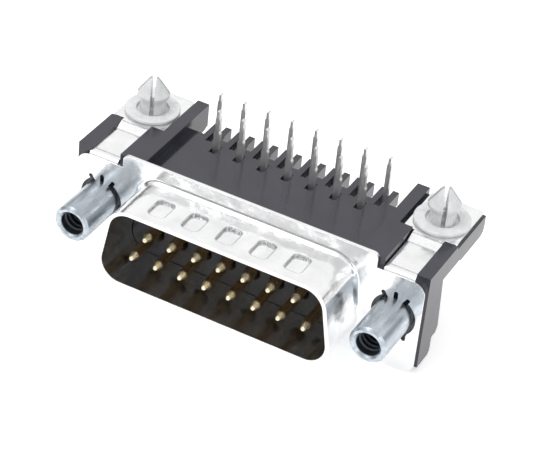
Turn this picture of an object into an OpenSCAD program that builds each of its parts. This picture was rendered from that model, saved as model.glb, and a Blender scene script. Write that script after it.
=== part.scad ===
// Right-angle board-mount D-subminiature plug: a drawn metal shell with folded ground straps,
// a pin insulator, a moulded right-angle bracket with a comb for the solder tails,
// one formed contact for each way, two riveted jackscrew standoffs and two split board locks.
//
// Frame: the origin is the middle of the flange's front face. +X runs along the long side,
// -Y is the mating side and +Z is the board side, so the solder tails point up.

/* [Contacts] */
// Contacts in the long row; the short row has one less
long_row = 8; // [3:1:13]
// Distance between neighbours in a row
pitch = 2.77; // [2.5:0.01:3]
// Distance between the two rows of pins
row_gap = 2.84; // [2.6:0.01:3]
// Diameter of a mating pin
pin_d = 1.02; // [0.8:0.01:1.1]
// How far the pin tips stay behind the shell's rim
pin_setback = 0.7; // [0.4:0.1:2]
// Length of a pin's bullet-shaped end
bullet_l = 0.95; // [0.5:0.05:1.2]
// Diameter of the collar that holds a contact in the insulator
collar_d = 1.5; // [1.3:0.05:1.6]
// Width and thickness of a solder tail
tail_w = 0.47; // [0.4:0.01:0.55]
// Width of the shoulders of a short-row tail, where it leaves the bracket
shoulder_w = 0.7; // [0.6:0.01:0.8]
// Inner radius of the right-angle bend
bend_r = 0.6; // [0.3:0.05:0.9]
// From the flange's back to the first row of tails
tail_start = 8.08; // [7.5:0.01:10]
// Distance between the two rows of tails
tail_gap = 2.84; // [2.6:0.01:3]
// How far the tails reach past the board seat
tail_reach = 3.45; // [2.5:0.05:4]

/* [Insulator] */
// How far the insulator's face stands in front of the flange, inside the shell
face_reach = 0.3; // [0:0.1:2]
// Thickness of the insulator behind the flange
block_t = 1.8; // [1.5:0.1:2]
// Size of the chamfers that lead the pins in
lead_in = 0.35; // [0.1:0.05:0.4]

/* [Shell] */
// Thickness of the sheet metal
metal_t = 0.4; // [0.3:0.05:0.6]
// Height inside the D-shaped shell
shell_h = 8.36; // [8.2:0.01:8.8]
// From the axis of an end contact to the inside of the shell, at the wide side
shell_room = 2.93; // [2.7:0.01:3.2]
// Slope of the two short sides
side_angle = 10; // [6:1:12]
// Corner radius inside the shell
corner_r = 2.2; // [1.6:0.1:2.6]
// How far the shell stands in front of the flange
shell_reach = 6.2; // [5.8:0.1:6.6]
// Radius of the fillet at the shell's root
root_r = 0.45; // [0.2:0.05:0.6]
// Dimples in the shell's narrow side
dimple_count = 5; // [1:1:8]
// Distance between dimples
dimple_pitch = 3.8; // [3:0.1:5]
// Length of a dimple, front to back
dimple_l = 2.7; // [2:0.1:3.2]
// Width of a dimple
dimple_w = 1.9; // [1.2:0.1:2.4]
// Depth of a dimple
dimple_depth = 0.3; // [0.1:0.05:0.5]
// Radius of a dimple's corners
dimple_r = 0.5; // [0.3:0.05:0.7]
// From the flange's front face to the middle of the dimples
dimple_y = 3.65; // [3:0.05:4.2]

/* [Flange] */
// From the axis of an end contact to a screw hole
hole_room = 6.955; // [6.5:0.005:7.5]
// From a screw hole to the flange's end
ear_reach = 2.92; // [2.8:0.01:3.4]
// Height of the flange
flange_h = 12.54; // [12:0.01:13.4]
// Radius of the flange's outer corners
ear_r = 1.35; // [0.6:0.05:1.6]
// From the shell's axis to the flange edge between the ground straps and the ends
ear_top = 4.75; // [4.4:0.05:5]
// From a screw hole to the end of the raised middle of the flange
crest_gap = 2.35; // [2.1:0.05:2.6]
// Diameter of the screw hole
hole_d = 3.1; // [3.05:0.05:3.4]
// Outer radius of the ring-shaped slot round the screw hole
ring_r = 2.38; // [2.3:0.01:2.6]
// Width of the ring slot and of its end lobes
ring_w = 0.46; // [0.35:0.01:0.5]

/* [Ground straps] */
// Width of a ground strap
strap_w = 3.3; // [2.6:0.1:3.6]
// From the shell's axis to the top of the strap's level part
strap_z = 5.1; // [5:0.05:5.3]
// Outer radius of the fold from the flange into the strap
fold_r = 0.6; // [0.55:0.05:0.9]
// From the flange's back to the end of the level part of the strap
strap_level = 4.7; // [4:0.1:5.2]
// Length of the sloped step that leads up to the plate
strap_slope = 1.1; // [0.8:0.1:1.4]
// Width of the plate under a board lock
plate_w = 5.8; // [5.4:0.1:6]

/* [Bracket] */
// From the shell's axis to the board seat
seat_z = 5.9; // [5.8:0.05:6.2]
// From the shell's axis to the top of the comb
comb_z = 4.7; // [4.5:0.05:4.8]
// Thickness of the comb
comb_t = 1.5; // [1:0.1:1.8]
// How far the comb reaches behind the last row of tails
comb_back = 1.13; // [0.8:0.01:1.6]
// Width of the slots that hold the tails
slot_w = 0.62; // [0.6:0.01:0.75]
// Length of the slots that hold the last row of tails
slot_l = 3.3; // [2.6:0.1:3.6]
// Width of the notches in the comb's edge, between the slots
notch_w = 0.82; // [0.5:0.01:1]
// Length of those notches
notch_l = 2.4; // [1:0.1:3]
// Thickness of the inner rails
rail_t = 1.35; // [1:0.05:1.6]
// From the shell's axis to the bracket's lower edge
base_drop = 5.5; // [5.3:0.05:6]
// Depth of the bracket behind the flange, under the arms
body_depth = 3.5; // [3.2:0.05:4]
// How much deeper the bracket is at the step above its foot
body_draft = 0.6; // [0:0.05:0.8]
// Depth of the bracket's foot, below the step
foot_depth = 2.8; // [2.4:0.1:3.1]
// From the shell's axis down to that step
foot_drop = 3.5; // [3:0.1:4]
// How much lower the arms are round the board locks
arm_pad = 0.25; // [0:0.05:0.5]
// Thickness of the outer side plates
side_t = 1.45; // [1.2:0.05:1.6]
// How far the side plates stand past the flange's end
side_over = 0.2; // [0.1:0.02:0.5]
// Thickness of the bracket's wall behind the flange
wall_t = 1.6; // [1.4:0.1:2]

/* [Standoffs] */
// Diameter of a standoff
standoff_d = 4; // [3.8:0.1:4.4]
// How far a standoff stands in front of the flange
standoff_l = 5.68; // [5:0.01:6]
// Diameter of the tapped bore, at about the middle of its thread's flanks
standoff_bore = 2.5; // [2.2:0.05:2.6]
// Size of the chamfers at a standoff's mouth
standoff_chamfer = 0.25; // [0.1:0.05:0.35]

/* [Board locks] */
// Diameter of a board lock's disc
disc_d = 5.8; // [5:0.1:6]
// Thickness of the disc
disc_t = 0.4; // [0.3:0.05:0.6]
// Diameter of the sprung fingers
finger_d = 2.7; // [2.4:0.1:2.9]
// Diameter over the barbs
barb_d = 3.4; // [3.2:0.1:3.8]
// Thickness of the circuit board that the barbs clip behind
board_t = 1.55; // [1:0.05:2]
// How far the fingers reach past the board seat
finger_reach = 3.6; // [3:0.1:4]
// Width of the slits between the fingers
slit_w = 0.42; // [0.3:0.02:0.6]
// Width of the gap between the fingers and the disc round them
well_w = 0.38; // [0.3:0.01:0.5]
// Thickness of the web that joins the fingers to the disc
disc_web_t = 0.12; // [0.1:0.01:0.15]
// Width of the guide web beside the front and rear slits
web_w = 0.75; // [0.4:0.05:0.9]
// From the lock's axis to the outside of the web, inside the board's hole
web_reach = 1.55; // [1.4:0.01:1.6]
// Angle of the first slit from the connector's long side
slit_turn = 25; // [0:5:90]

/* [Fits] */
// Gap on each side of a piece that is pushed or laid into another
fit_gap = 0.05; // [0.03:0.01:0.08]
// Smoothness of round surfaces
round_fn = 48; // [24:8:96]

/* [Hidden] */
$fn = round_fn;

function contact_name(i) = str("contact_", i < 10 ? "0" : "", i);

// Places along the width, from the contacts outwards
row_end = (long_row - 1) * pitch / 2;
shell_half = row_end + shell_room;
hole_x = row_end + hole_room;
flange_end = hole_x + ear_reach;
crest_end = hole_x - crest_gap;
rail_out = hole_x - plate_w / 2 - 0.3;
rail_in = rail_out - rail_t;
side_out = flange_end + side_over;
side_in = side_out - side_t;
strap_in = hole_x - strap_w / 2;

// Places along the depth
rim_y = -shell_reach;
pin_tip_y = rim_y + pin_setback;
back_y = metal_t;
first_tail_y = back_y + tail_start;
last_tail_y = first_tail_y + tail_gap;
lock_y = first_tail_y + 0.4 * tail_gap;
comb_end_y = last_tail_y + comb_back;
arm_end_y = comb_end_y + 1.05;
bracket_y = back_y + body_depth;
foot_y = back_y + foot_depth;
slope_y = back_y + strap_level;
plate_y = slope_y + strap_slope;
step_y = plate_y + 0.5;
face_y = -face_reach;
block_y = back_y + block_t;
collar_y = block_y - 0.8;

// Rounded nose of a pin
nose_r = pin_d / 4;

// Foot of a board lock, which snaps in behind the bracket's arm, and its blunt tip
foot_lip = 0.2;
foot_l = 0.55;
disc_bevel = 0.1;
tip_r = 0.5;

// Top of a board lock's guide webs, just past the board
web_top = seat_z + board_t + 0.1;

// Head of the riveted end of a standoff
rivet_r = hole_d / 2 + 0.4;

// Heights
crest_z = flange_h / 2;
plate_z = seat_z - disc_t;
web_z = plate_z - metal_t;
comb_low = comb_z - comb_t;
arm_low = comb_low - arm_pad;
arm_z = plate_z - 0.05;
tip_z = seat_z + tail_reach;
eps = 0.01;
blend = 0.002;
lap = 0.05;

/* ---------- helpers ---------- */

// Extrudes an outline drawn in X and Z from depth y0 to depth y1
module deep(y0, y1) {
    translate([0, y1, 0]) rotate([90, 0, 0]) linear_extrude(y1 - y0) children();
}

// Extrudes an outline drawn in Y and Z from x0 to x1
module wide(x0, x1) {
    translate([x0, 0, 0]) rotate([90, 0, 90]) linear_extrude(x1 - x0) children();
}

// Box between two corners
module block(a, b) {
    translate(a) cube(b - a);
}

// Round bar along Y
module bar_y(y0, y1, r) {
    translate([0, y1, 0]) rotate([90, 0, 0]) cylinder(h = y1 - y0, r = r);
}

// Cone along Y with radius r0 at y0 and r1 at y1
module cone_y(y0, y1, r0, r1) {
    translate([0, y1, 0]) rotate([90, 0, 0]) cylinder(h = y1 - y0, r1 = r1, r2 = r0);
}

// The same thing on the right and mirrored on the left
module both_sides() {
    children();
    mirror([1, 0, 0]) children();
}

// Rectangle with true round corners
module rounded(x0, z0, x1, z1, r) {
    translate([x0 + r, z0]) square([x1 - x0 - 2 * r, z1 - z0]);
    translate([x0, z0 + r]) square([x1 - x0, z1 - z0 - 2 * r]);
    for (x = [x0 + r, x1 - r], z = [z0 + r, z1 - r]) translate([x, z]) circle(r);
}

// Corner centres of the D outline whose corners have radius r, grown outwards by grow:
// the wide side is at the bottom
function d_low_x(grow, r) = shell_half + grow - r;
function d_top_x(grow, r) = d_low_x(grow, r) - (shell_h + 2 * grow - 2 * r) * tan(side_angle);

// D-shaped outline: a straight-sided body and a true arc at each corner. The body is a hair
// slimmer than the arcs, so that each side crosses its arcs instead of only touching them
module d_outline(grow = 0, r = corner_r) {
    z = shell_h / 2 + grow;
    low = d_low_x(grow, r);
    top = d_top_x(grow, r);
    n = r - blend;
    c = n * cos(side_angle);
    s = n * sin(side_angle);
    polygon([[-low, blend - z], [low, blend - z], [low + c, r - z + s], [top + c, z - r + s],
             [top, z - blend], [-top, z - blend], [-top - c, z - r + s], [-low - c, r - z + s]]);
    for (side = [-1, 1]) {
        translate([side * low, r - z]) circle(r);
        translate([side * top, z - r]) circle(r);
    }
}

// Places of the contacts: index 1 .. long_row is the long row, the rest is the short row
function is_long(i) = i <= long_row;
function contact_x(i) = is_long(i) ? (i - 1) * pitch - row_end
                                   : (i - long_row - 0.5) * pitch - row_end;
function contact_z(i) = (is_long(i) ? -1 : 1) * row_gap / 2;
function tail_y(i) = is_long(i) ? last_tail_y : first_tail_y;

/* ---------- front shell ---------- */

// Outline of the flange with its raised middle between the two relief notches
module flange_outline() {
    low = -crest_z;
    end = flange_end - ear_r;
    both_sides() {
        translate([0, low]) square([end, ear_top - low]);
        translate([0, low + ear_r]) square([flange_end, ear_top - low - 2 * ear_r]);
        translate([end, low + ear_r]) circle(ear_r);
        translate([end, ear_top - ear_r]) circle(ear_r);
        rounded(-1, 0, crest_end, crest_z, 0.6);
    }
}

// Fillet profile between the flange and the drawn wall, from the wall outwards. It is sunk into
// both sheets, and its arc cuts a hair into them, so that it never only touches a surface
module root_profile() {
    difference() {
        translate([-metal_t / 2, -metal_t / 2]) square(root_r + metal_t / 2);
        translate([root_r - 2 * blend, root_r - 2 * blend]) circle(root_r);
    }
}

// The fillet all round the root of the D: straight runs that lap into the turns at the corners
module root_fillet() {
    r = corner_r + metal_t;
    z = shell_h / 2 + metal_t;
    low = d_low_x(metal_t, r);
    top = d_top_x(metal_t, r);
    side_l = (2 * z - 2 * r) / cos(side_angle);
    rotate([90, 0, 0]) {
        translate([-top - lap, z - blend, 0]) rotate([90, 0, 90])
            linear_extrude(2 * (top + lap)) root_profile();
        translate([low + lap, blend - z, 0]) rotate([90, 0, -90])
            linear_extrude(2 * (low + lap)) root_profile();
        for (side = [0, 1]) mirror([side, 0, 0]) {
            translate([top, z - r, 0]) rotate([0, 0, side_angle])
                rotate_extrude(angle = 90 - side_angle) translate([r, 0]) root_profile();
            translate([low, r - z, 0]) rotate([0, 0, -90])
                rotate_extrude(angle = 90 + side_angle) translate([r, 0]) root_profile();
            translate([low, r - z, 0]) rotate([0, 0, side_angle])
                translate([r - blend, side_l + lap, 0]) rotate([90, 0, 0])
                    linear_extrude(side_l + 2 * lap) root_profile();
        }
    }
}

// Dimples of the narrow side, from height z0 to z1, with their outline grown by grow
module dimples(grow, z0, z1) {
    x = dimple_w / 2 + grow;
    y = dimple_l / 2 + grow;
    for (i = [0 : dimple_count - 1])
        translate([(i - (dimple_count - 1) / 2) * dimple_pitch, -dimple_y, z0])
            linear_extrude(z1 - z0) rounded(-x, -y, x, y, dimple_r + grow);
}

// Ring slot round a screw hole, left open by two spring webs at the top and a bridge below
module hole_cutout() {
    mid_r = ring_r - ring_w / 2;
    circle(hole_d / 2);
    difference() {
        circle(ring_r);
        circle(ring_r - ring_w);
        polygon([[0, 0], [8 * cos(60), 8 * sin(60)], [0, 12], [-8 * cos(60), 8 * sin(60)]]);
        polygon([[0, 0], [8 * cos(50), -8 * sin(50)], [0, -12], [-8 * cos(50), -8 * sin(50)]]);
    }
    for (a = [60, 90, 120]) rotate(a) lobe(mid_r - 0.65 * ring_w, mid_r + ring_w);
    for (a = [-50, -130]) rotate(a) {
        lobe(mid_r, mid_r + ring_w / 4);
        translate([mid_r, 0]) rotate(-90 - a) lobe(0, 1.6 * ring_w);
    }
}

// Slot end along +X from radius a to radius b
module lobe(a, b) {
    translate([a, -ring_w / 2]) square([b - a, ring_w]);
    translate([a, 0]) circle(ring_w / 2);
    translate([b, 0]) circle(ring_w / 2);
}

// Section of a ground strap: the fold at the flange, the level run and the sloped step
module strap_section() {
    r_in = fold_r - metal_t;
    fold_z = strap_z - fold_r;
    polygon([[0, ear_top - 1], [metal_t, ear_top - 1], [metal_t, fold_z], [0, fold_z]]);
    intersection() {
        translate([fold_r, fold_z]) difference() {
            circle(fold_r);
            circle(r_in);
        }
        translate([0, fold_z]) square(fold_r);
    }
    polygon([[fold_r, strap_z - metal_t], [slope_y, strap_z - metal_t], [plate_y, web_z],
             [plate_y + 1, web_z], [plate_y + 1, plate_z], [plate_y, plate_z],
             [slope_y, strap_z], [fold_r, strap_z]]);
}

// Plate under a board lock, with its hole
module lock_plate() {
    translate([0, 0, web_z]) linear_extrude(metal_t) difference() {
        rounded(hole_x - plate_w / 2, step_y + fit_gap, hole_x + plate_w / 2, arm_end_y, 0.4);
        translate([hole_x, lock_y]) circle(finger_d / 2 + 0.25);
    }
}

module front_shell() {
    inside = shell_h / 2;
    color("silver") {
        difference() {
            union() {
                difference() {
                    union() {
                        deep(0, back_y) flange_outline();
                        deep(rim_y, back_y) d_outline(metal_t, corner_r + metal_t);
                        root_fillet();
                    }
                    deep(rim_y - 1, back_y + 1) d_outline();
                }
                dimples(metal_t / 2, inside - dimple_depth, inside + metal_t / 2);
            }
            dimples(0, inside + metal_t - dimple_depth, inside + 2 * metal_t);
            both_sides() deep(-1, back_y + 1) translate([hole_x, 0]) hole_cutout();
        }
        both_sides() {
            wide(strap_in, strap_in + strap_w) strap_section();
            lock_plate();
        }
    }
}

/* ---------- insulator ---------- */

module insulator() {
    color("#17171a") difference() {
        union() {
            deep(face_y, back_y) d_outline(-fit_gap, corner_r - fit_gap);
            deep(back_y, block_y)
                rounded(fit_gap - rail_in, -base_drop + 0.4, rail_in - fit_gap, comb_z, 0.5);
        }
        for (i = [1 : 2 * long_row - 1]) translate([contact_x(i), 0, contact_z(i)]) {
            bar_y(face_y - 1, block_y + 1, pin_d / 2 + fit_gap);
            cone_y(face_y - eps, face_y + lead_in, pin_d / 2 + lead_in, pin_d / 2 + fit_gap);
            bar_y(collar_y, block_y + 1, collar_d / 2 + fit_gap);
        }
    }
}

/* ---------- bracket ---------- */

// Side view of the column behind the flange, with its stepped foot
module column_section(top) {
    deep_y = bracket_y + body_draft;
    polygon([[back_y, -base_drop], [foot_y - 0.4, -base_drop], [foot_y, -base_drop + 0.4],
             [foot_y, -foot_drop], [deep_y - 0.4, -foot_drop], [deep_y, 0.6 - foot_drop],
             [bracket_y, comb_low], [bracket_y, top], [fold_r, top],
             [back_y, strap_z - fold_r]]);
}

// Side view of an arm that carries a board lock: a pad below and a round lower corner
module arm_section() {
    r = 0.9;
    pad_y = lock_y - 1.9;
    polygon([[bracket_y - 0.5, comb_low], [pad_y, comb_low], [pad_y + 0.3, arm_low],
             [arm_end_y - r, arm_low], [arm_end_y, arm_low + r],
             [arm_end_y, web_z], [plate_y, web_z], [slope_y, strap_z - metal_t],
             [bracket_y - 0.5, strap_z - metal_t]]);
    translate([arm_end_y - r, arm_low + r]) circle(r);
}

// Comb plate with the slots and holes for the tails
module comb() {
    difference() {
        block([-rail_in - eps, block_y, comb_low], [rail_in + eps, comb_end_y, comb_z]);
        for (i = [1 : long_row])
            slot_cut(contact_x(i), comb_end_y - slot_l, comb_end_y + 1, slot_w);
        for (i = [long_row + 1 : 2 * long_row - 1]) {
            slot_cut(contact_x(i), first_tail_y - 0.95, first_tail_y + 0.5, shoulder_w + 0.1);
            slot_cut(contact_x(i), comb_end_y - notch_l, comb_end_y + 1, notch_w);
        }
        both_sides() block([row_end + (pitch - notch_w) / 2, comb_end_y - notch_l, comb_low - 1],
                           [rail_in + 1, comb_end_y + 1, comb_z + 1]);
    }
}

module slot_cut(x, y0, y1, w) {
    block([x - w / 2, y0, comb_low - 1], [x + w / 2, y1, comb_z + 1]);
}

// Rail beside the comb: wide next to the strap, narrow next to the plate
module inner_rail() {
    block([rail_in, back_y, comb_low], [rail_out, arm_end_y, seat_z]);
    block([rail_in, back_y, comb_low], [strap_in - 0.12, step_y - 0.2, seat_z]);
}

// Bracket end on the right: column, side plate, web under the plate, and arm
module bracket_end() {
    difference() {
        union() {
            wide(rail_in, side_out) column_section(strap_z - metal_t);
            wide(side_in, side_out) polygon([
                [back_y, 0], [bracket_y, 0], [bracket_y, comb_low], [step_y, comb_low],
                [step_y, arm_z], [back_y, arm_z]]);
            wide(rail_in, side_out) arm_section();
            inner_rail();
        }
        // pocket behind the wall, round the riveted end of the standoff
        block([rail_in + 1.6, back_y + wall_t, -foot_drop + 0.6],
              [side_in, bracket_y + 2, comb_low - 0.6]);
        translate([hole_x, 0, 0]) {
            bar_y(back_y - 1, bracket_y + 1, hole_d / 2);
            bar_y(back_y + wall_t, bracket_y + 1, rivet_r + 2 * fit_gap);
        }
        // room for the strap's slope and for the board lock
        block([strap_in - 0.12, slope_y - 0.3, web_z], [side_in, step_y, seat_z + 1]);
        translate([hole_x, lock_y, arm_low - 1])
            cylinder(h = 5, r = finger_d / 2 + fit_gap);
    }
}

module bracket() {
    color("#26262b") {
        difference() {
            wide(-rail_in - eps, rail_in + eps) column_section(comb_z);
            block([-rail_in, -1, -base_drop - 1], [rail_in, block_y + fit_gap, comb_z + 1]);
            for (i = [1 : 2 * long_row - 1]) translate([contact_x(i), 0, contact_z(i)])
                block([-slot_w / 2, 0, -slot_w / 2], [slot_w / 2, bracket_y + 1, slot_w / 2]);
        }
        comb();
        both_sides() bracket_end();
    }
}

/* ---------- contacts ---------- */

// Outline of a tail across its width: shoulders, shank and slim tip
module tail_outline(z0, shoulders) {
    h = tail_w / 2;
    t = 0.13;
    s = shoulder_w / 2;
    polygon([[-h, z0], [h, z0], [h, tip_z - 0.95], [t, tip_z - 0.7], [t, tip_z - 0.1],
             [t - 0.08, tip_z], [0.08 - t, tip_z], [-t, tip_z - 0.1], [-t, tip_z - 0.7],
             [-h, tip_z - 0.95]]);
    if (shoulders) polygon([[-s, comb_low], [s, comb_low], [s, comb_z + 1.9],
                            [h, comb_z + 2.2], [-h, comb_z + 2.2], [-s, comb_z + 1.9]]);
}

module contact(i) {
    y = tail_y(i);
    z = contact_z(i);
    r = pin_d / 2;
    h = tail_w / 2;
    turn = bend_r + h;
    translate([contact_x(i), 0, 0]) {
        color("gold") translate([0, 0, z]) {
            bar_y(pin_tip_y + bullet_l, block_y, r);
            cone_y(pin_tip_y + 0.8 * nose_r, pin_tip_y + bullet_l, nose_r, r);
            translate([0, pin_tip_y + nose_r, 0]) sphere(nose_r);
            bar_y(collar_y + fit_gap, block_y, collar_d / 2);
        }
        color("lightgray") {
            block([-h, block_y - 0.2, z - h], [h, y - turn, z + h]);
            translate([0, y - turn, z + turn]) rotate([0, 90, 0])
                rotate_extrude(angle = 90) translate([bend_r, -h]) square(tail_w);
            deep(y - h, y + h) tail_outline(z + turn, !is_long(i));
        }
    }
}

/* ---------- standoffs ---------- */

module standoff() {
    r = standoff_d / 2;
    bore = standoff_bore / 2;
    shank = hole_d / 2 - fit_gap;
    c = standoff_chamfer;
    rivet_y = back_y + wall_t;
    color("#aab4be") difference() {
        union() {
            bar_y(c - standoff_l, 0, r);
            cone_y(-standoff_l, c - standoff_l, r - c, r);
            bar_y(-1, rivet_y + 0.1, shank);
            cone_y(rivet_y, rivet_y + 0.5, shank, rivet_r);
            bar_y(rivet_y + 0.5, rivet_y + 0.7, rivet_r);
        }
        bar_y(-standoff_l - 1, rivet_y + 2, bore);
        cone_y(-standoff_l - eps, c - standoff_l, bore + c, bore);
    }
}

/* ---------- board locks ---------- */

// Half section of a board lock, turned round its axis
module lock_section() {
    r = finger_d / 2;
    barb = barb_d / 2;
    foot = r + foot_lip;
    low = arm_low - foot_l;
    edge = disc_bevel;
    well_z = plate_z + disc_web_t;
    catch_z = seat_z + board_t;
    top = seat_z + finger_reach;
    polygon([[0, low], [r - 0.35, low], [foot, low + 0.3], [foot, arm_low - fit_gap],
             [r, arm_low - fit_gap], [r, plate_z], [disc_d / 2 - edge, plate_z],
             [disc_d / 2, plate_z + edge], [disc_d / 2, seat_z - edge],
             [disc_d / 2 - edge, seat_z], [r + well_w, seat_z], [r + well_w, well_z],
             [r, well_z], [r, catch_z], [barb, catch_z], [barb, catch_z + 0.3],
             [tip_r + edge, top - 0.15], [tip_r, top], [0, top]]);
}

// Strip of a finger beside the slits that face the front and the rear
module web_strip(z1) {
    block([0, -disc_d / 2, plate_z], [slit_w / 2 + web_w, -finger_d / 4, z1]);
}

module board_lock() {
    top = seat_z + finger_reach + 1;
    well_half = finger_d / 2 + 0.8 * well_w;
    color("#e4e6e4") difference() {
        union() {
            rotate_extrude() lock_section();
            for (a = [0, 180]) rotate(slit_turn + a) intersection() {
                translate([0, 0, plate_z]) cylinder(h = web_top - plate_z, r = web_reach);
                web_strip(web_top);
            }
        }
        // the barbs are cut back to the webs
        for (a = [0, 180]) rotate(slit_turn + a) difference() {
            translate([0, 0, seat_z + board_t - fit_gap]) web_strip(finger_reach);
            cylinder(h = top, r = web_reach - blend);
        }
        for (a = [slit_turn, slit_turn + 90]) rotate(a) {
            block([-well_half, -slit_w / 2, plate_z + disc_web_t], [well_half, slit_w / 2, top]);
            block([-disc_d / 2, -slit_w / 2, seat_z + fit_gap], [disc_d / 2, slit_w / 2, top]);
        }
    }
}

/* ---------- nodes ---------- */

front_shell();
insulator();
bracket();
for (i = [1 : 2 * long_row - 1])
    contact(i);
translate([-hole_x, 0, 0]) standoff();  // standoff_left
translate([hole_x, 0, 0]) standoff();  // standoff_right
translate([-hole_x, lock_y, 0]) board_lock();  // board_lock_left
translate([hole_x, lock_y, 0]) board_lock();  // board_lock_right
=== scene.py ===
# Looks of a right-angle board-mount D-sub plug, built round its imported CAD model.
#
# The frame is the CAD's: the origin is the middle of the flange's front face, +X runs along the
# long side, -Y is the mating side and +Z the board side. Lengths are in metres.

import math

import bpy
from mathutils import Matrix, Vector


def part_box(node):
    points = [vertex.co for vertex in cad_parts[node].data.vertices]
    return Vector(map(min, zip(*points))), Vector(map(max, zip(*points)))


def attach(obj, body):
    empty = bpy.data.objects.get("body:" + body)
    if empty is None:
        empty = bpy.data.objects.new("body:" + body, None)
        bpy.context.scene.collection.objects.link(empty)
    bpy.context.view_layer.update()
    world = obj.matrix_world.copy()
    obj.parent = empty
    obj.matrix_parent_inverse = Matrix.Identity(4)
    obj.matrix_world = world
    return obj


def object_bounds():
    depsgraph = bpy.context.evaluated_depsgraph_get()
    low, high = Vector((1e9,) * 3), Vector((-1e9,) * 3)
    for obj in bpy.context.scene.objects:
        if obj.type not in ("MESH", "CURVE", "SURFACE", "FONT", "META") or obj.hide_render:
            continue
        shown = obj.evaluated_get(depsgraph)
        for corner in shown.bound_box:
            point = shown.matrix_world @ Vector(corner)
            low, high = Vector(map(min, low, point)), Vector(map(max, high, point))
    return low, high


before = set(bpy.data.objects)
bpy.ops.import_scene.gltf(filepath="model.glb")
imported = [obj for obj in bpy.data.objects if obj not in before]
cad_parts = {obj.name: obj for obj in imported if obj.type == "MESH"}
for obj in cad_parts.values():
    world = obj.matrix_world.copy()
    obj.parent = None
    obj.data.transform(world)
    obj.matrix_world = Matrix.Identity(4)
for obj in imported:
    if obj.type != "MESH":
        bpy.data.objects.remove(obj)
cad_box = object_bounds()
MM = 0.001

# Places on the model. Two values along one axis are where a change of material starts and ends.
HOLE_X = 16.65 * MM
# lines of painted shade, with a duller satin, across the ground straps, along Y: the first 0.3 mm
# behind the end of the fold out of the flange, the others where the strap bends into its slope
# and into its plate
MARKS_Y = (0.9 * MM, 5.1 * MM, 6.2 * MM)
STRAP_Z = (4.6 * MM, 4.8 * MM)
# the shell's dimples: spacing, middle along Y, half their width and length, corner radius
DIMPLE_PITCH = 3.8 * MM
DIMPLE_Y = -3.65 * MM
DIMPLE_HALF = (0.95 * MM, 1.35 * MM)
DIMPLE_R = 0.5 * MM
DIMPLE_FADE_Y = (-5.05 * MM, -4.3 * MM)
DIMPLED_Z = (4.10 * MM, 4.20 * MM)
DIMPLED_X = (9.2 * MM, 9.3 * MM)
# along a contact: the end of the pin's nose, where its painted highlight fades out, and the
# change from gold to tin
NOSE_Y = (-4.75 * MM, -4.45 * MM)
TIN_Y = (2.2 * MM, 2.6 * MM)
# the tapped bore of a standoff, and the span over which painted shade fills it
BORE_R = 1.25 * MM
BORE_WALL = (1.24 * MM, 1.34 * MM)

# Two tones of each finish, which noise mixes.
PLATING = (0.96, 0.96, 0.965), (0.85, 0.855, 0.86)
GOLD = (0.96, 0.76, 0.45), (0.80, 0.47, 0.19)
TIN = (0.93, 0.925, 0.91), (0.80, 0.795, 0.78)
ZINC = (0.60, 0.65, 0.69), (0.37, 0.42, 0.475)
NYLON = (0.80, 0.81, 0.815), (0.68, 0.695, 0.70)
INSULATOR_BLACK = (0.008, 0.008, 0.009), (0.015, 0.015, 0.017)
BRACKET_BLACK = (0.016, 0.0165, 0.027), (0.026, 0.0265, 0.041)
FLOOR = (0.88, 0.88, 0.88), (0.86, 0.86, 0.865)
# Single tones, and what each place adds to the roughness. The three tones are painted light:
# shade along the straps' bends and round the dimples, a highlight on the pins' noses, and shade
# in the standoffs' bores.
PAINTED_SHADE_GREY, NOSE_HIGHLIGHT_GOLD, BORE_SHADE_GREY = (0.36, 0.36, 0.37), (1.0, 0.90, 0.66), (0.085, 0.094, 0.11)
SHADE_LINE_SATIN, NOSE_SATIN, BORE_SATIN, TIN_SATIN = 0.2, 0.20, 0.22, 0.38
FLOOR_GLOW = 0.45

CONTACTS = [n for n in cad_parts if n.startswith("contact_")]
STANDOFFS = ["standoff_left", "standoff_right"]
BOARD_LOCKS = ["board_lock_left", "board_lock_right"]


# ---------- node helpers ----------

class Nodes:
    """A node tree under construction, with short calls for the nodes used here."""

    def __init__(self, owner):
        owner.use_nodes = True
        self.tree = owner.node_tree
        self.tree.nodes.clear()

    def add(self, kind, **settings):
        node = self.tree.nodes.new(kind)
        for key, value in settings.items():
            setattr(node, key, value)
        return node

    def link(self, source, target):
        self.tree.links.new(source, target)

    def span(self, value, low, high, to_low=0.0, to_high=1.0, smooth=False):
        """Maps low..high to to_low..to_high, clamped."""
        node = self.add("ShaderNodeMapRange")
        if smooth:
            node.interpolation_type = "SMOOTHSTEP"
        node.inputs["From Min"].default_value = low
        node.inputs["From Max"].default_value = high
        node.inputs["To Min"].default_value = to_low
        node.inputs["To Max"].default_value = to_high
        self.link(value, node.inputs["Value"])
        return node.outputs[0]

    def math(self, operation, a, b=0.0):
        node = self.add("ShaderNodeMath", operation=operation)
        for socket, value in zip(node.inputs, (a, b)):
            if isinstance(value, (int, float)):
                socket.default_value = value
            else:
                self.link(value, socket)
        return node.outputs[0]

    def part_of(self, vector, index):
        """One coordinate of a vector."""
        node = self.add("ShaderNodeSeparateXYZ")
        self.link(vector, node.inputs[0])
        return node.outputs[index]


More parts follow.
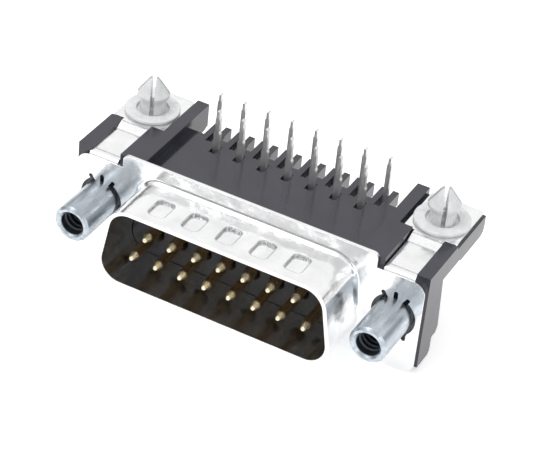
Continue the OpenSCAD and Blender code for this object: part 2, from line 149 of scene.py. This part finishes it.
class Shader(Nodes):
    """A node material under construction."""

    def __init__(self, name):
        self.material = bpy.data.materials.new(name)
        super().__init__(self.material)
        self.output = self.add("ShaderNodeOutputMaterial")
        self.bsdf = self.add("ShaderNodeBsdfPrincipled")
        self.link(self.bsdf.outputs[0], self.output.inputs["Surface"])
        self.place = self.add("ShaderNodeTexCoord").outputs["Object"]

    def fixed(self, **values):
        """Sets the shader's own sockets; underscores stand for spaces."""
        for key, value in values.items():
            self.bsdf.inputs[key.replace("_", " ")].default_value = value

    def stretched(self, scale):
        """The place on the object, scaled along each axis."""
        node = self.add("ShaderNodeMapping")
        node.inputs["Scale"].default_value = scale
        self.link(self.place, node.inputs["Vector"])
        return node.outputs[0]

    def noise(self, size, detail=3.0, rough=0.5, stretch=(1, 1, 1)):
        """Noise whose blobs are about this size in metres."""
        node = self.add("ShaderNodeTexNoise")
        node.inputs["Scale"].default_value = 1.0
        node.inputs["Detail"].default_value = detail
        node.inputs["Roughness"].default_value = rough
        self.link(self.stretched([s / size for s in stretch]), node.inputs["Vector"])
        return node.outputs["Fac"]

    def axis(self, index):
        """One coordinate of the place on the object."""
        return self.part_of(self.place, index)

    def mix(self, share, a, b):
        """Colour a where share is 0, b where it is 1."""
        node = self.add("ShaderNodeMix", data_type="RGBA")
        self.link(share, node.inputs["Factor"])
        for socket, value in ((node.inputs[6], a), (node.inputs[7], b)):
            if isinstance(value, tuple):
                socket.default_value = (*value, 1.0)
            else:
                self.link(value, socket)
        return node.outputs[2]

    def colour(self, source):
        self.link(source, self.bsdf.inputs["Base Color"])

    def roughness(self, source):
        self.link(source, self.bsdf.inputs["Roughness"])

    def relief(self, *layers, edge=0.0):
        """Rounds edges by the radius given and adds bump layers of (height, depth in metres)."""
        normal = None
        if edge:
            bevel = self.add("ShaderNodeBevel", samples=8)
            bevel.inputs["Radius"].default_value = edge
            normal = bevel.outputs[0]
        for height, depth in layers:
            bump = self.add("ShaderNodeBump")
            bump.inputs["Distance"].default_value = depth
            bump.inputs["Strength"].default_value = 1.0
            self.link(height, bump.inputs["Height"])
            if normal is not None:
                self.link(normal, bump.inputs["Normal"])
            normal = bump.outputs[0]
        self.link(normal, self.bsdf.inputs["Normal"])


# ---------- materials ----------

def dimple_outline(m):
    """Up to 1 on the outline of the shell's dimples, weaker at their front; painted shade goes
    there.
    """
    spaced = m.math("FLOORED_MODULO", m.math("ADD", m.axis(0), DIMPLE_PITCH / 2), DIMPLE_PITCH)
    across = m.math("ABSOLUTE", m.math("SUBTRACT", spaced, DIMPLE_PITCH / 2))
    along = m.math("ABSOLUTE", m.math("SUBTRACT", m.axis(1), DIMPLE_Y))
    past = [m.math("SUBTRACT", value, half - DIMPLE_R)
            for value, half in zip((across, along), DIMPLE_HALF)]
    squares = [m.math("POWER", m.math("MAXIMUM", value, 0.0), 2.0) for value in past]
    outside = m.math("SQRT", m.math("ADD", *squares))
    inside = m.math("MINIMUM", m.math("MAXIMUM", *past), 0.0)
    distance = m.math("SUBTRACT", m.math("ADD", outside, inside), DIMPLE_R)
    line = m.span(m.math("ABSOLUTE", distance), 0.04 * MM, 0.15 * MM, 1.0, 0.0)
    top = m.span(m.axis(2), *DIMPLED_Z)
    middle = m.span(m.math("ABSOLUTE", m.axis(0)), *DIMPLED_X, 1.0, 0.0)
    fade = m.span(m.axis(1), *DIMPLE_FADE_Y, 0.35, 1.0)
    return m.math("MULTIPLY", m.math("MULTIPLY", line, fade), m.math("MULTIPLY", top, middle))


def tinned_steel():
    """Bright tin plate: drawing lines, slow waves from forming, clouds in the plating, and
    painted shade, with a duller satin, in lines where the sheet was bent and pressed."""
    m = Shader("tinned_steel")
    m.fixed(Metallic=1.0)
    clouds = m.noise(2.6 * MM, detail=4)
    lines = m.noise(0.5 * MM, detail=3, stretch=(1.0, 0.12, 1.0))
    grain = m.noise(0.09 * MM, detail=2)
    plating = m.mix(m.span(clouds, 0.35, 0.7), *PLATING)
    marks = None
    for place in MARKS_Y:
        away = m.math("ABSOLUTE", m.math("SUBTRACT", m.axis(1), place))
        mark = m.span(away, 0.03 * MM, 0.12 * MM, 1.0, 0.0)
        marks = mark if marks is None else m.math("MAXIMUM", marks, mark)
    on_strap = m.span(m.axis(2), *STRAP_Z)
    # noise breaks the lines of painted shade into stipple
    stipple = m.span(m.noise(0.16 * MM, detail=2), 0.40, 0.62, 0.35, 1.0)
    marks = m.math("MAXIMUM", m.math("MULTIPLY", marks, on_strap), dimple_outline(m))
    shade_and_satin = m.math("MULTIPLY", marks, stipple)
    # painted shade: a darker grey along the straps' bends and round the dimples
    m.colour(m.mix(shade_and_satin, plating, PAINTED_SHADE_GREY))
    polish = m.math("ADD", m.span(clouds, 0.3, 0.7, 0.10, 0.20),
                    m.span(lines, 0.4, 0.7, 0.0, 0.06))
    m.roughness(m.math("ADD", polish, m.math("MULTIPLY", shade_and_satin, SHADE_LINE_SATIN)))
    pits = m.span(m.noise(0.17 * MM, detail=1), 0.66, 0.74)
    m.relief((m.noise(3.4 * MM, detail=2), 0.12 * MM), (lines, 0.006 * MM),
             (grain, 0.0012 * MM), (pits, 0.006 * MM), edge=0.055 * MM)
    return m.material


def moulded(name, tones, roughness, edge, gloss=0.5, ior=1.52):
    """Dark moulded thermoplastic: fine tool texture, and soft flow clouds in tone and gloss."""
    m = Shader(name)
    m.fixed(IOR=ior, Specular_IOR_Level=gloss)
    flow = m.noise(3.0 * MM, detail=4)
    texture = m.noise(0.07 * MM, detail=2)
    m.colour(m.mix(m.span(flow, 0.3, 0.72), *tones))
    m.roughness(m.math("ADD", m.span(flow, 0.3, 0.7, *roughness),
                       m.span(texture, 0.45, 0.75, 0.0, 0.08)))
    m.relief((m.noise(5.0 * MM, detail=1), 0.03 * MM), (texture, 0.0018 * MM), edge=edge)
    return m.material


def contact_metal():
    """Gold on the mating pin, with a painted highlight and a satin finish at its nose, then tin
    on the formed tail.
    """
    m = Shader("contact_gold")
    m.fixed(Metallic=1.0)
    wander = m.noise(0.8 * MM, detail=2)
    border = m.math("ADD", m.axis(1), m.span(wander, 0.3, 0.7, -0.25 * MM, 0.25 * MM))
    tin = m.span(border, *TIN_Y)
    stain = m.noise(0.5 * MM, detail=4)
    gold = m.mix(m.span(stain, 0.35, 0.75), *GOLD)
    grey = m.mix(m.span(stain, 0.35, 0.75), *TIN)
    nose = m.span(m.axis(1), *NOSE_Y, 1.0, 0.0)
    # painted highlight: a paler gold on the nose
    gold = m.mix(nose, gold, NOSE_HIGHLIGHT_GOLD)
    m.colour(m.mix(tin, gold, grey))
    lines = m.noise(0.16 * MM, detail=2, stretch=(1.0, 0.15, 0.15))
    polish = m.span(lines, 0.3, 0.7, 0.06, 0.13)
    satin = m.math("ADD", m.math("MULTIPLY", tin, TIN_SATIN),
                   m.math("MULTIPLY", nose, NOSE_SATIN))
    m.roughness(m.math("ADD", polish, satin))
    m.relief((lines, 0.0004 * MM), edge=0.13 * MM)
    return m.material


def zinc_plate():
    """Turned steel under bluish zinc: lathe rings, blurred streaks, and a dull bore darkened by
    painted shade.
    """
    m = Shader("zinc_plate")
    m.fixed(Metallic=1.0)
    streaks = m.noise(0.55 * MM, detail=4, stretch=(1.0, 0.16, 1.0))
    rings = m.noise(0.10 * MM, detail=2, stretch=(0.05, 1.0, 0.05))
    outside = m.mix(m.span(streaks, 0.32, 0.7), *ZINC)
    across = m.math("SUBTRACT", m.math("ABSOLUTE", m.axis(0)), HOLE_X)
    from_axis = m.math("SQRT", m.math("ADD", m.math("POWER", across, 2.0),
                                      m.math("POWER", m.axis(2), 2.0)))
    bore = m.span(from_axis, *BORE_WALL, 1.0, 0.0)
    # painted shade: a dark grey in the bore and on the thread crests inside it
    m.colour(m.mix(bore, outside, BORE_SHADE_GREY))
    satin = m.math("ADD", m.span(streaks, 0.3, 0.7, 0.22, 0.36),
                   m.span(rings, 0.4, 0.7, 0.0, 0.06))
    m.roughness(m.math("ADD", satin, m.math("MULTIPLY", bore, BORE_SATIN)))
    m.relief((rings, 0.004 * MM), (streaks, 0.006 * MM), edge=0.07 * MM)
    return m.material


def lock_nylon():
    """Pale unpigmented nylon that lets light soak in."""
    m = Shader("lock_nylon")
    m.fixed(IOR=1.53, Subsurface_Weight=0.3, Subsurface_Scale=0.5 * MM,
            Subsurface_Radius=(1.0, 1.0, 1.0))
    clouds = m.noise(1.1 * MM, detail=4)
    m.colour(m.mix(m.span(clouds, 0.3, 0.7), *NYLON))
    m.roughness(m.span(m.noise(0.4 * MM), 0.3, 0.7, 0.16, 0.32))
    m.relief((m.noise(0.6 * MM, detail=2), 0.004 * MM), edge=0.08 * MM)
    return m.material


def floor_white():
    """Pale studio floor: it glows to camera, glossy and transmission rays, and takes a shadow."""
    m = Shader("floor_white")
    m.fixed(Roughness=0.9)
    m.colour(m.mix(m.noise(0.05), *FLOOR))
    rays = m.add("ShaderNodeLightPath")
    seen = m.math("MAXIMUM", rays.outputs["Is Camera Ray"],
                  m.math("MAXIMUM", rays.outputs["Is Glossy Ray"],
                         rays.outputs["Is Transmission Ray"]))
    m.bsdf.inputs["Emission Color"].default_value = (1, 1, 1, 1)
    m.link(m.math("MULTIPLY", seen, FLOOR_GLOW), m.bsdf.inputs["Emission Strength"])
    return m.material


def dress(material, *nodes):
    """Gives nodes of the CAD model one material."""
    for name in nodes:
        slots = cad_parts[name].data.materials
        slots.clear()
        slots.append(material)


zinc = zinc_plate()
dress(tinned_steel(), "front_shell")
dress(moulded("insulator_black", INSULATOR_BLACK, roughness=(0.22, 0.34), edge=0.02 * MM,
              gloss=0.35), "insulator")
dress(moulded("bracket_black", BRACKET_BLACK, roughness=(0.07, 0.15), edge=0.06 * MM,
              ior=1.60), "bracket")
dress(contact_metal(), *CONTACTS)
dress(zinc, *STANDOFFS)
dress(lock_nylon(), *BOARD_LOCKS)


# ---------- threads in the standoffs ----------

THREAD_PITCH = 25.4 / 40 * MM
CREST_R = 1.07 * MM
ROOT_R = BORE_R + 0.06 * MM
# half the width of a crest at its top and at its foot, and the thread's gap to each end of its
# run, all as shares of the pitch
CREST_TOP, CREST_FOOT = 0.07, 0.30
END_GAP = 0.35
# from the standoff's front and back to that run
MOUTH_GAP, BACK_GAP = 0.45 * MM, 0.15 * MM
TURN_STEPS = 48
FADE_STEPS = 14


def thread(name, node):
    """Crests of a 4-40 thread that wind along the bore of a standoff, sunk into its wall."""
    low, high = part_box(node)
    centre_x = (low.x + high.x) / 2
    start, end = low.y + MOUTH_GAP, high.y - BACK_GAP
    # profile across one crest: distance along the bore as a share of the pitch, radius
    profile = [(-CREST_FOOT, ROOT_R), (-CREST_TOP, CREST_R), (CREST_TOP, CREST_R),
               (CREST_FOOT, ROOT_R)]
    turns = (end - start) / THREAD_PITCH - 2 * END_GAP
    count = int(turns * TURN_STEPS)
    points, faces = [], []
    for step in range(count + 1):
        angle = 2 * math.pi * step / TURN_STEPS
        middle = start + THREAD_PITCH * (END_GAP + step / TURN_STEPS)
        fade = min(1.0, step / FADE_STEPS, (count - step) / FADE_STEPS)
        for along, radius in profile:
            r = ROOT_R - (ROOT_R - radius) * fade
            points.append((centre_x + r * math.cos(angle), middle + along * THREAD_PITCH,
                           r * math.sin(angle)))
    n = len(profile)
    for step in range(count):
        for k in range(n):
            a, b = step * n + k, step * n + (k + 1) % n
            faces.append((a, b, b + n, a + n))
    faces.append(tuple(range(n)))
    faces.append(tuple(reversed(range(count * n, count * n + n))))
    mesh = bpy.data.meshes.new(name)
    mesh.from_pydata(points, [], faces)
    mesh.update()
    piece = bpy.data.objects.new(name, mesh)
    bpy.context.collection.objects.link(piece)
    mesh.materials.append(zinc)
    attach(piece, "root")
    return piece


for side in ("left", "right"):
    thread("thread_" + side, "standoff_" + side)


# ---------- studio ----------

# The sky's strength away from SKY_TOWARD, in front of the part, and towards it, behind the part,
# and where between the two it changes.
SKY_TOWARD = (0.0, 0.55, 0.84)
SKY_FRONT, SKY_BACK = 0.70, 1.0
SKY_CHANGE = (-0.15, 0.85)
# A darker band just above the horizon, which curved metal shows as streaks: its middle and half
# its width, as the Z of a direction, and the share of the sky's strength that is left there.
BAND_HEIGHT = 0.16
BAND_HALF = 0.15
BAND_SHADE = 0.12

FLOOR_HALF = 0.6
FLOOR_GAP = 0.02 * MM

# The camera that was fitted to the photograph, with its distance, sensor width and focal length
# in millimetres. The roll stands for how the part lies in the photograph.
AZIMUTH, ELEVATION, ROLL = (math.radians(a) for a in (24.970, 36.330, 6.107))
TARGET = Vector((1.308, 2.723, 2.583)) * MM
DISTANCE = 219.079
SENSOR_WIDTH, LENS = 36, 146.957


def stage_floor():
    """A wide floor under the lowest edge of the part."""
    half = FLOOR_HALF
    z = cad_box[0].z - FLOOR_GAP
    mesh = bpy.data.meshes.new("floor")
    mesh.from_pydata([(-half, -half, z), (half, -half, z), (half, half, z), (-half, half, z)],
                     [], [(0, 1, 2, 3)])
    mesh.materials.append(floor_white())
    floor = bpy.data.objects.new("floor", mesh)
    bpy.context.collection.objects.link(floor)


def softbox(name, place, size, power):
    """A square area lamp, in metres and watts, that faces the part."""
    data = bpy.data.lights.new(name, "AREA")
    data.shape = "RECTANGLE"
    data.size = data.size_y = size
    data.energy = power
    lamp = bpy.data.objects.new(name, data)
    lamp.location = place
    lamp.rotation_euler = (-Vector(place)).to_track_quat("-Z", "Y").to_euler()
    bpy.context.collection.objects.link(lamp)


def studio_world():
    """White to the camera alone; the sky that lights the part is dimmer in front of it."""
    world = bpy.data.worlds.new("studio")
    bpy.context.scene.world = world
    n = Nodes(world)
    direction = n.add("ShaderNodeTexCoord").outputs["Generated"]
    toward = n.add("ShaderNodeVectorMath", operation="DOT_PRODUCT")
    toward.inputs[1].default_value = SKY_TOWARD
    n.link(direction, toward.inputs[0])
    ramp = n.span(toward.outputs["Value"], *SKY_CHANGE, SKY_FRONT, SKY_BACK, smooth=True)
    away = n.math("ABSOLUTE", n.math("SUBTRACT", n.part_of(direction, 2), BAND_HEIGHT))
    band = n.span(away, BAND_HALF / 3, BAND_HALF, BAND_SHADE, 1.0, smooth=True)
    sky, white = (n.add("ShaderNodeBackground") for _ in range(2))
    for background in (sky, white):
        background.inputs["Color"].default_value = (1, 1, 1, 1)
    n.link(n.math("MULTIPLY", ramp, band), sky.inputs["Strength"])
    mix = n.add("ShaderNodeMixShader")
    n.link(n.add("ShaderNodeLightPath").outputs["Is Camera Ray"], mix.inputs[0])
    n.link(sky.outputs[0], mix.inputs[1])
    n.link(white.outputs[0], mix.inputs[2])
    n.link(mix.outputs[0], n.add("ShaderNodeOutputWorld").inputs["Surface"])


def camera():
    """The photograph's view."""
    back = Vector((math.sin(AZIMUTH) * math.cos(ELEVATION),
                   -math.cos(AZIMUTH) * math.cos(ELEVATION), math.sin(ELEVATION)))
    right = Vector((0, 0, 1)).cross(back).normalized()
    up = back.cross(right)
    right, up = (right * math.cos(ROLL) + up * math.sin(ROLL),
                 up * math.cos(ROLL) - right * math.sin(ROLL))
    data = bpy.data.cameras.new("camera")
    data.sensor_width = SENSOR_WIDTH
    data.lens = LENS
    data.clip_start, data.clip_end = 0.01, 5
    view = bpy.data.objects.new("camera", data)
    turn = Matrix((right, up, back)).transposed().to_4x4()
    view.matrix_world = Matrix.Translation(TARGET + back * DISTANCE * MM) @ turn
    bpy.context.collection.objects.link(view)
    bpy.context.scene.camera = view


stage_floor()
softbox("key", place=(-0.16, -0.12, 0.34), size=0.26, power=0.50)
softbox("fill", place=(0.34, -0.22, 0.14), size=0.22, power=0.22)
studio_world()
camera()
bpy.context.scene.view_settings.view_transform = "Standard"
